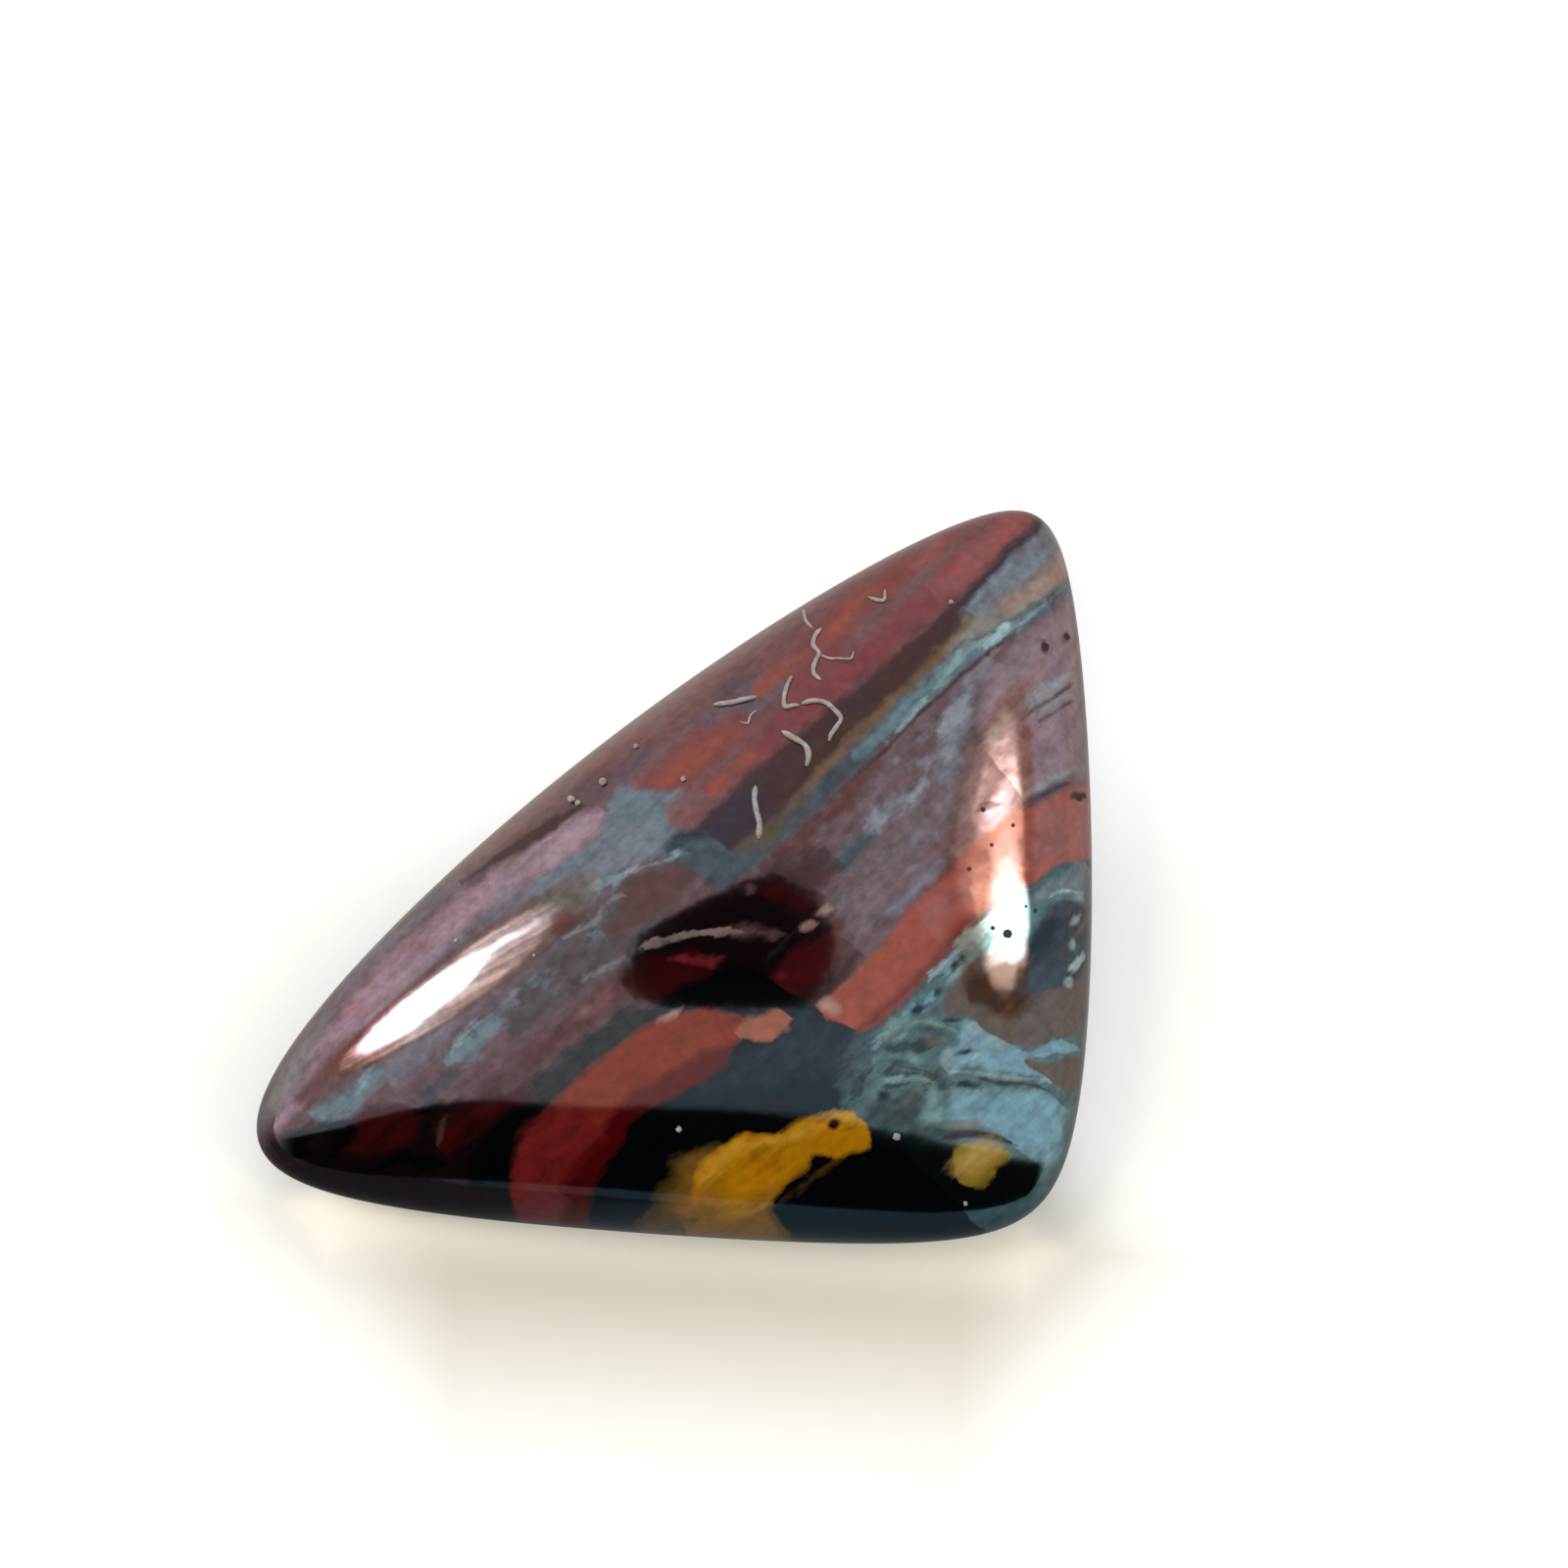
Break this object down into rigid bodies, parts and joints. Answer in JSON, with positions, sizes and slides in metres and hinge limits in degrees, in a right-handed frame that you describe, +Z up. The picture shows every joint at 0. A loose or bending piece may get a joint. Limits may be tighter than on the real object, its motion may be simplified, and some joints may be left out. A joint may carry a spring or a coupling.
{
  "type": "banded stone cabochon",
  "caption": "Polished freeform cabochon of banded red and steel-grey stone, with a three-cornered outline, a low domed top and a flat back to rest on or set.",
  "frame": {"origin": "centre of the stone's extent, on the flat back that it rests on", "axes": "+Z up out of the domed top; +X along the longest side's run, with the long tip to -X; +Y towards the upper corner"},
  "size_m": [0.0262, 0.0232, 0.006],
  "materials": {
    "polished_stone": "polished",
    "lint": "matt"
  },
  "bodies": {
    "root": {"polished_stone": "polished_stone"}
  },
  "joints": []
}
